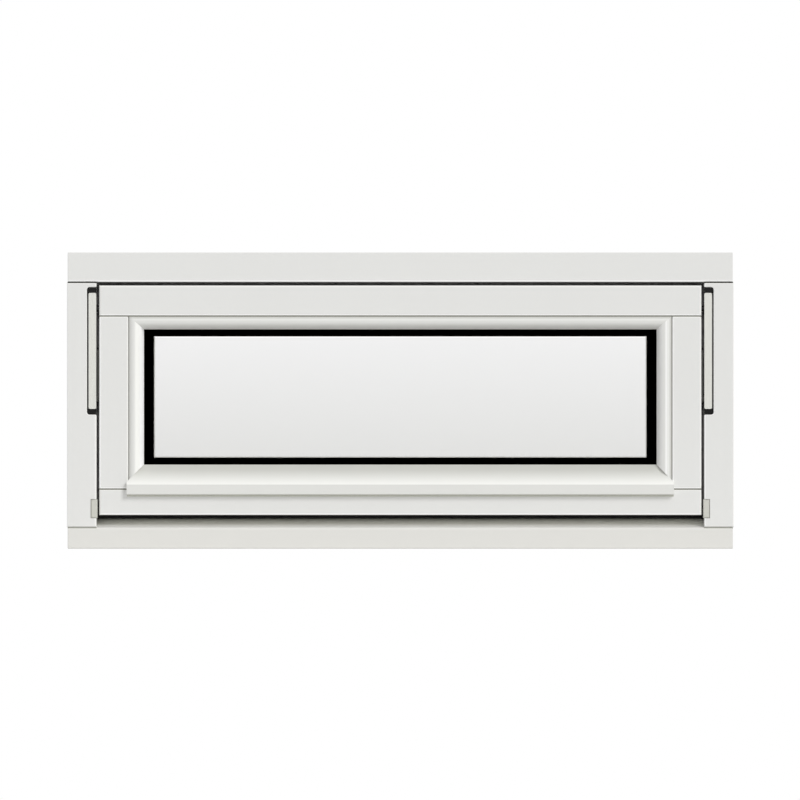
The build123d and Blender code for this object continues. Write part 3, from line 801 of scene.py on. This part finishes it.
class WINDOW_OT_seal_joints(bpy.types.Operator):
    """Run sealer into the grooves between the members, coloured as painted shade, and a painted shadow under
    the nose of the bottom bead
    """

    bl_idname = "window.seal_joints"
    bl_label = "Seal the joints"

    def execute(self, context):
        joints = context.scene.window_joints
        dark = cut_sealer("acrylic_joint_sealer_and_shade_head", joints.head_sealer_shade)
        pale = cut_sealer("acrylic_joint_sealer_and_shade_sill", joints.sill_sealer_shade)
        grey = cut_sealer("acrylic_joint_sealer_and_shade_sash", joints.sash_sealer_shade)
        nose_shadow = cut_sealer("acrylic_sealer_and_shadow_under_nose", joints.nose_shadow_tone)
        width, sink = joints.half_width, joints.sink
        sill_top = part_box("frame_jamb_right")[0].z
        bead_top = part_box("bead_top")[1].z
        nose_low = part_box("bead_bottom")[0]

        # Over the top bead and under the nose of the bottom bead it runs right across: along the top bead as
        # painted shade of its edge, under the nose as a painted shadow
        over_bead = in_mm([(-0.8, 0.8), (0.0, 0.95), (0.8, 0.8), (0.4, 2.0), (-0.4, 2.0)])
        ends = (-BEAD_SIDE, BEAD_SIDE)
        run_sealer("sealer_and_shade_over_top_bead", over_bead, (RAIL_JOINT + bead_top) / 2, SASH_FRONT, ends, grey)
        # Painted shadow: this strip under the nose darkens the top of the nose's shadow
        under_nose = in_mm(
            [(0.0, -1.2), (-0.9, -0.9), (-1.8, -0.4), (-2.7, 0.0), (-1.4, 0.6), (0.4, 0.6), (0.4, -1.0)]
        )
        nose_end = -nose_low.x - 0.6 * MM
        ends = (-nose_end, nose_end)
        run_sealer("sealer_and_shadow_under_bottom_bead", under_nose, nose_low.z, SASH_FRONT, ends, nose_shadow)

        # Outside it is tooled down onto the lower member, so it lies a little below the joint itself
        hollow = sink + 0.12 * MM
        root = sink + 0.7 * MM
        tooled = [
            (-width, sink),
            (-0.4 * width, hollow),
            (0.4 * width, hollow),
            (width, sink),
            (0.5 * width, root),
            (-0.5 * width, root),
        ]
        nose_side = BEAD_SIDE + 2.6 * MM
        # Painted shade: outside, the sealer in each run is coloured as the shade in its groove
        # Each run: its name, its section and height, the face, where it starts and ends, and the sealer
        runs = [
            ("head_joint", tooled, HEAD_UNDER - 0.7 * MM, FRAME_FRONT, JAMB_INNER, HEAD_END, dark),
            ("sill_joint", tooled, sill_top - 1.1 * MM, FRAME_FRONT, JAMB_INNER, HEAD_END, pale),
            ("top_rail_joint", tooled, RAIL_JOINT - 0.5 * MM, SASH_FRONT, BEAD_SIDE, SASH_SIDE, grey),
            ("bottom_rail_joint", tooled, FOOT_JOINT, SASH_FRONT, nose_side, SASH_SIDE, grey),
        ]

        # On the room side the joints are hairlines filled flush
        hairline = in_mm([(-0.45, -0.04), (0.0, 0.0), (0.45, -0.04), (0.2, -0.9), (-0.2, -0.9)])
        frame_face = FRAME_BACK - 0.05 * MM
        sash_face = SASH_BACK + 0.08 * MM
        head_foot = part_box("frame_head")[0].z + 0.15 * MM
        sill_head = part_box("frame_sill")[1].z - 0.15 * MM
        moulding, lap = SIGHT_SIDE + 6 * MM, SASH_SIDE - 9 * MM
        runs += [
            ("head_joint_inside", hairline, head_foot, frame_face, STOP_SIDE, HEAD_END, grey),
            ("sill_joint_inside", hairline, sill_head, frame_face, STOP_SIDE, HEAD_END, grey),
            ("top_rail_joint_inside", hairline, RAIL_JOINT, sash_face, moulding, lap, grey),
            ("bottom_rail_joint_inside", hairline, FOOT_JOINT, sash_face, moulding, lap, grey),
        ]
        for name, section, height, face, start, end, sealer in runs:
            for side, sign in SIDES.items():
                run_sealer(f"sealer_{name}_{side}", section, height, face, (sign * start, sign * end), sealer)
        return {"FINISHED"}


class WINDOW_OT_glaze(bpy.types.Operator):
    """Finish the insulating glass unit, its tapes and its spacer"""

    bl_idname = "window.glaze"
    bl_label = "Glaze the sash"

    def execute(self, context):
        glass = context.scene.window_glass
        clear = linear("#FFFFFF")
        spacer_width = 9 * MM
        half = SPACER_HIGH.x - spacer_width
        low = SPACER_LOW.z + spacer_width
        high = SPACER_HIGH.z - spacer_width
        # The inner pane carries a painted reflection, lighter at the top, and a white painted highlight just
        # under the top of the spacer
        reflecting_glass = float_glass("float_glass_painted_reflection", glass.high, glass.low, high - glass.highlight_strip)
        dress(["glass_outer"], float_glass("float_glass_outer_pane", clear, clear))
        dress(["glass_inner"], reflecting_glass)
        dress(["spacer_bar"], extruded_rubber("extruded_black_spacer", "#050505", 0.5))
        dress(["edge_sealant"], extruded_rubber("cured_black_polysulphide", "#040404", 0.6))
        tape = extruded_rubber("foamed_black_glazing_tape", "#0A0A0A", 0.8)
        dress(["glazing_tape_outer", "glazing_tape_inner"], tape)

        # Painted highlight: a thin pale wedge that stands in from the spacer along the foot and the sides, a
        # light line along the glass's edge
        sealer = cut_sealer("tooled_sealer_glass_glint", glass.glint)
        width = glass.glint_width
        front = SPACER_LOW.y + 0.3 * MM
        tip = front + 0.3 * MM
        back = front + 0.8 * MM
        heel = back + 0.4 * MM
        outside = [(-half, low), (half, low), (half, high), (-half, high)]
        inside = [
            (-half + width, low + width),
            (half - width, low + width),
            (half - width, high - width),
            (-half + width, high - width),
        ]
        for name, start, end in (("foot", 0, 1), ("right", 1, 2), ("left", 3, 0)):
            mesh = bmesh.new()
            rings = []
            for corner in (start, end):
                (x, z), (u, v) = outside[corner], inside[corner]
                wedge = ((x, front, z), (u, tip, v), (u, back, v), (x, heel, z))
                rings.append([Vector(point) for point in wedge])
            skin(mesh, rings)
            make_piece(f"glass_edge_glint_{name}", mesh, sealer)
        return {"FINISHED"}


class WINDOW_OT_weather_seal(bpy.types.Operator):
    """Run the bulb seal round the back of the sash"""

    bl_idname = "window.weather_seal"
    bl_label = "Fit the weather seal"

    def execute(self, context):
        rubber = extruded_rubber("extruded_epdm_seal", "#0C0C0C", 0.55)
        dress(["sill_seal"], rubber)
        low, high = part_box("weather_seal")
        middle = Vector(((low.x + high.x) / 2, 0, (low.z + high.z) / 2))
        half_width = (high.x - low.x) / 2
        half_height = (high.z - low.z) / 2
        depth = high.y - low.y
        corner = 8.2 * MM
        # Inset from the outer edge and height above the sash, in millimetres: foot, neck and bulb
        profile = [
            (0.3, 0.0),
            (7.7, 0.0),
            (7.7, 0.9),
            (5.4, 1.1),
            (4.9, 1.5),
            (6.0, 2.2),
            (6.5, 3.2),
            (6.2, 4.2),
            (5.3, 4.8),
            (4.3, 5.0),
            (3.2, 4.8),
            (2.4, 4.2),
            (2.1, 3.2),
            (2.6, 2.2),
            (3.6, 1.5),
            (3.1, 1.1),
            (0.3, 0.9),
        ]
        outlines = []
        for inset, height in profile:
            gap = inset * MM
            outline = rounded_rectangle(half_width - gap, half_height - gap, corner - gap)
            outlines.append([(u, min(height * MM, depth), v) for u, v in outline])
        rings = [[middle + Vector((u, low.y + y, v)) for u, y, v in station] for station in zip(*outlines)]
        mesh = bmesh.new()
        skin(mesh, rings, looped=True)
        seal = make_piece("bulb_seal", mesh, rubber, 50.0)
        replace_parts(seal, "weather_seal")
        return {"FINISHED"}


class WINDOW_OT_side_fittings(bpy.types.Operator):
    """Finish the slide rails, shoes, arms and plates, and drive their screws"""

    bl_idname = "window.side_fittings"
    bl_label = "Finish the side fittings"

    def execute(self, context):
        fittings = context.scene.window_fittings
        rail = brushed_metal("anodised_aluminium_drawn_rail", fittings.rail, "Z", 0.42, 0.6, 0.01)
        plated = brushed_metal("zinc_plated_pressed_steel", fittings.plating, "Z", 0.36, 0.9, 0.02)
        acetal = moulded_acetal("moulded_acetal_shoe", fittings.acetal)
        clip = moulded_acetal("moulded_black_acetal_clip", linear("#060606"), 0.14)
        for side in SIDES:
            dress([f"slide_rail_{side}"], rail)
            dress([f"slide_shoe_{side}"], acetal)
            dress([f"rail_clip_lower_{side}", f"rail_clip_upper_{side}"], clip)
            dress([f"swing_arm_{side}", f"sash_plate_{side}"], plated)
        drive_screws(
            "sash_plate",
            "sash_plate_screw",
            plated,
            fittings.screw_radius,
            from_foot=9 * MM,
            from_top=6 * MM,
            foot_shift=6 * MM,
        )
        return {"FINISHED"}


class WINDOW_OT_locks(bpy.types.Operator):
    """Finish the lock keeps, faceplates and rollers"""

    bl_idname = "window.locks"
    bl_label = "Finish the locks"

    def execute(self, context):
        fittings = context.scene.window_fittings
        casting = cast_zinc("powder_coated_zinc_casting", fittings.casting)
        plated = brushed_metal("zinc_plated_faceplate", fittings.plating, "Z", 0.34, 0.8, 0.02)
        for side in SIDES:
            dress([f"lock_keep_{side}"], casting)
            dress([f"lock_faceplate_{side}", f"locking_roller_{side}"], plated)
        drive_screws(
            "lock_faceplate",
            "faceplate_screw",
            plated,
            fittings.screw_radius,
            from_foot=5.5 * MM,
            from_top=8 * MM,
        )
        return {"FINISHED"}


class WINDOW_OT_handle(bpy.types.Operator):
    """Finish the inside handle and add its collar and screw caps"""

    bl_idname = "window.handle"
    bl_label = "Finish the handle"

    def execute(self, context):
        fittings = context.scene.window_fittings
        metal = brushed_metal("anodised_aluminium_satin_handle", fittings.handle, "X", 0.32, 0.5, 0.01)
        nylon = moulded_acetal("moulded_nylon_collar", linear("#8E9092"))
        low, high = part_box("handle_rosette")
        middle = (low + high) / 2

        # Rosette: an oblong plate with round ends and a soft edge, inset and height in millimetres
        half = (high - low) / 2
        mesh = bmesh.new()
        rings = []
        for inset, y in ((0.0, 0.0), (0.0, 5.6), (0.25, 6.7), (0.9, 7.5), (1.9, 7.9), (3.2, 8.0)):
            gap = inset * MM
            outline = rounded_rectangle(half.x - gap, half.z - gap, half.z - gap - 0.02 * MM, 12)
            rings.append([Vector((middle.x + u, low.y + y * MM, middle.z + v)) for u, v in outline])
        skin(mesh, rings)
        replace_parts(make_piece("round_rosette", mesh, metal, 50.0), "handle_rosette")

        # Lever: one section swept out of the rosette, round the bend and along to a soft end
        end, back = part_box("handle_lever")
        bend, soft_end, edge = 12 * MM, 4 * MM, 5 * MM
        bend_steps, end_steps = 12, 6
        thick = back.x - middle.x
        tall = (back.z - end.z) / 2
        arm = back.y - thick
        stations = [(Vector((middle.x, high.y)), 0.0, 0.0), (Vector((middle.x, arm - bend)), 0.0, 0.0)]
        for step in range(1, bend_steps + 1):
            turn = math.radians(90 * step / bend_steps)
            point = Vector((middle.x - bend + bend * math.cos(turn), arm - bend + bend * math.sin(turn)))
            stations.append((point, turn, 0.0))
        for step in range(end_steps + 1):
            ease = math.radians(90 * step / end_steps)
            point = Vector((end.x + soft_end * (1 - math.sin(ease)), arm))
            stations.append((point, math.pi / 2, soft_end * (1 - math.cos(ease))))
        mesh = bmesh.new()
        rings = []
        for point, turn, inset in stations:
            along, out = math.cos(turn), math.sin(turn)
            outline = rounded_rectangle(thick - inset, tall - inset, edge - inset)
            rings.append([Vector((point.x + u * along, point.y + u * out, middle.z + v)) for u, v in outline])
        skin(mesh, rings)
        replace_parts(make_piece("swept_lever", mesh, metal, 50.0), "handle_lever")

        # The collar is an oval ring that the lever's neck turns in, all in millimetres: inset and height
        half_width, half_height, corner = 8.4, 11.9, 6.4
        centre = Vector((middle.x, high.y, middle.z))
        mesh = bmesh.new()
        rings = []
        for inset, y in ((0.4, -0.2), (0.0, 0.3), (0.0, 1.6), (0.5, 2.1), (2.6, 2.1), (2.6, -0.2)):
            outline = rounded_rectangle(half_width - inset, half_height - inset, corner - inset * 0.8)
            rings.append([centre + Vector((u, y, v)) * MM for u, v in outline])
        skin(mesh, rings, looped=True)
        make_piece("handle_collar", mesh, nylon)

        # A low dome over each screw of the rosette, height and radius in millimetres
        screw_distance = 22.5 * MM
        dome = [(-0.3, 4.6), (0.15, 4.6), (0.45, 4.3), (0.65, 3.2), (0.72, 1.2)]
        for side, sign in SIDES.items():
            mesh = bmesh.new()
            place = centre + Vector((sign * screw_distance, 0, 0))
            turned(mesh, place, (0, 1, 0), in_mm(dome))
            make_piece(f"handle_screw_cap_{side}", mesh, metal)
        return {"FINISHED"}


class WINDOW_OT_fixing_caps(bpy.types.Operator):
    """Press caps into the mouths of the frame's fixing holes, on the room side"""

    bl_idname = "window.fixing_caps"
    bl_label = "Fit the fixing caps"

    def execute(self, context):
        fittings = context.scene.window_fittings
        white = moulded_acetal("moulded_white_fixing_cap", fittings.cap)
        radius = fittings.cap_radius
        hole_inset = 22 * MM
        hole_heights = (("lower", 100 * MM), ("upper", 300 * MM))
        # Height over the timber in millimetres, and radius as a share of the cap's
        dome = [(-0.5, 0.94), (0.25, 1.0), (0.6, 0.96), (0.9, 0.84), (1.1, 0.60), (1.18, 0.25)]
        rings = [(rise * MM, share * radius) for rise, share in dome]
        for side, sign in SIDES.items():
            for name, height in hole_heights:
                mesh = bmesh.new()
                turned(mesh, (sign * STOP_SIDE, FRAME_BACK - hole_inset, height), (-sign, 0, 0), rings)
                make_piece(f"fixing_cap_{name}_{side}", mesh, white)
        return {"FINISHED"}


def four_cornered_sheet(name, corners, material):
    """A flat sheet of the studio, with four corners."""
    mesh = bmesh.new()
    mesh.faces.new([mesh.verts.new(corner) for corner in corners])
    data = bpy.data.meshes.new(name)
    mesh.to_mesh(data)
    mesh.free()
    data.materials.append(material)
    sheet = bpy.data.objects.new(name, data)
    bpy.context.scene.collection.objects.link(sheet)
    return sheet


class WINDOW_OT_stage(bpy.types.Operator):
    """Set up the floor, the lamps, the world and the camera"""

    bl_idname = "window.stage"
    bl_label = "Set up the studio"

    def execute(self, context):
        stage = context.scene.window_stage
        scene = context.scene
        scene.view_settings.view_transform = "Standard"

        # Painted board floor: plain and matt, its tone drifting a little over 400 mm, so it shows only
        # the window's soft shadow
        material, tree, shader = new_material("matt_painted_floor")
        place = add_node(tree, "ShaderNodeTexCoord").outputs["Object"]
        cloud = add_node(tree, "ShaderNodeTexNoise", {"Vector": place, "Scale": per_mm(400.0), "Detail": 2.0})
        tone = add_node(
            tree,
            "ShaderNodeMix",
            {"Factor": cloud.outputs["Fac"], "A": shade(stage.floor, 0.995), "B": shade(stage.floor, 1.005)},
            data_type="RGBA",
        )
        tree.links.new(tone.outputs["Result"], shader.inputs["Base Color"])
        shader.inputs["Roughness"].default_value = 0.9
        half = stage.floor_width / 2
        corners = [(x * half, y * half, 0) for x, y in ((-1, -1), (1, -1), (1, 1), (-1, 1))]
        floor = four_cornered_sheet("floor", corners, material)

        # A black velvet card far in front, which shows only in reflections, so the glass keeps its black edge
        material, _, shader = new_material("black_velvet_card")
        shader.inputs["Base Color"].default_value = rgba(linear("#080808"))
        shader.inputs["Roughness"].default_value = 1.0
        shader.inputs["Specular IOR Level"].default_value = 0.0
        card_y, card_side, card_foot, card_top = -6.0, 0.5, -0.1, 0.5
        corners = [
            (-card_side, card_y, card_foot),
            (card_side, card_y, card_foot),
            (card_side, card_y, card_top),
            (-card_side, card_y, card_top),
        ]
        card = four_cornered_sheet("dark_card", corners, material)
        for kind in ("camera", "diffuse", "transmission", "volume_scatter", "shadow"):
            setattr(card, f"visible_{kind}", False)

        # The world lights evenly, and where it is seen, straight or in or through the glass, it is white
        world = bpy.data.worlds.new("studio")
        scene.world = world
        world.use_nodes = True
        tree = world.node_tree
        tree.nodes.clear()
        path = add_node(tree, "ShaderNodeLightPath")
        seen = path.outputs["Is Camera Ray"]
        for ray in ("Is Glossy Ray", "Is Transmission Ray"):
            sockets = {0: seen, 1: path.outputs[ray]}
            seen = add_node(tree, "ShaderNodeMath", sockets, operation="MAXIMUM").outputs[0]
        fill = add_node(tree, "ShaderNodeBackground", {"Color": (1, 1, 1, 1), "Strength": stage.sky})
        white = add_node(tree, "ShaderNodeBackground", {"Color": (1, 1, 1, 1), "Strength": 1.0})
        mix = add_node(tree, "ShaderNodeMixShader", {0: seen, 1: fill.outputs[0], 2: white.outputs[0]})
        add_node(tree, "ShaderNodeOutputWorld", {"Surface": mix.outputs[0]})

        # Each lamp: its strength, its spread in degrees, the way to it, and whether metal and glass mirror it
        lamp_distance = 3.0
        lamps = (
            ("key", stage.key, 24, Vector((0.455, -0.67, 0.59)), True),
            ("front", stage.front, 12, Vector((0.0, -0.98, 0.17)), False),
        )
        for name, strength, spread, towards, mirrored in lamps:
            data = bpy.data.lights.new(name, "SUN")
            data.energy = strength
            data.angle = math.radians(spread)
            lamp = bpy.data.objects.new(name, data)
            lamp.rotation_euler = towards.to_track_quat("Z", "Y").to_euler()
            lamp.location = towards * lamp_distance
            lamp.visible_glossy = mirrored
            scene.collection.objects.link(lamp)

        # The camera looks square on at the front, with the middle of its view a little off the window's own
        view_x, view_y, view_z = -0.4 * MM, -3.0, 200.7 * MM
        data = bpy.data.cameras.new("elevation")
        data.type = "ORTHO"
        data.ortho_scale = stage.view_width
        data.clip_end = 20
        camera = bpy.data.objects.new("elevation", data)
        camera.location = (view_x, view_y, view_z)
        camera.rotation_euler = (math.radians(90), 0, 0)
        scene.collection.objects.link(camera)
        scene.camera = camera
        return {"FINISHED"}


class WINDOW_PT_panel(bpy.types.Panel):
    """Steps that finish the window, in their order"""

    bl_idname = "WINDOW_PT_panel"
    bl_label = "Top-swing window"
    bl_space_type = "VIEW_3D"
    bl_region_type = "UI"
    bl_category = "Window"

    def draw(self, context):
        for group in GROUPS:
            box = self.layout.box()
            settings = getattr(context.scene, group)
            for name in settings.bl_rna.properties.keys():
                if name not in ("rna_type", "name"):
                    box.prop(settings, name)
        for operator in OPERATORS:
            self.layout.operator(operator.bl_idname)


GROUPS = {
    "window_paint": WINDOW_PG_paint,
    "window_joints": WINDOW_PG_joints,
    "window_glass": WINDOW_PG_glass,
    "window_fittings": WINDOW_PG_fittings,
    "window_stage": WINDOW_PG_stage,
}
OPERATORS = (
    WINDOW_OT_paint_timber,
    WINDOW_OT_glazing_beads,
    WINDOW_OT_seal_joints,
    WINDOW_OT_glaze,
    WINDOW_OT_weather_seal,
    WINDOW_OT_side_fittings,
    WINDOW_OT_locks,
    WINDOW_OT_handle,
    WINDOW_OT_fixing_caps,
    WINDOW_OT_stage,
)
CLASSES = (*GROUPS.values(), *OPERATORS, WINDOW_PT_panel)


def register():
    for kind in CLASSES:
        bpy.utils.register_class(kind)
    for name, group in GROUPS.items():
        setattr(bpy.types.Scene, name, PointerProperty(type=group))


def unregister():
    for name in GROUPS:
        delattr(bpy.types.Scene, name)
    for kind in reversed(CLASSES):
        bpy.utils.unregister_class(kind)


def main():
    """Registers the add-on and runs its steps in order."""
    register()
    for operator in OPERATORS:
        area, step = operator.bl_idname.split(".")
        getattr(getattr(bpy.ops, area), step)()


if __name__ == "__main__":
    main()
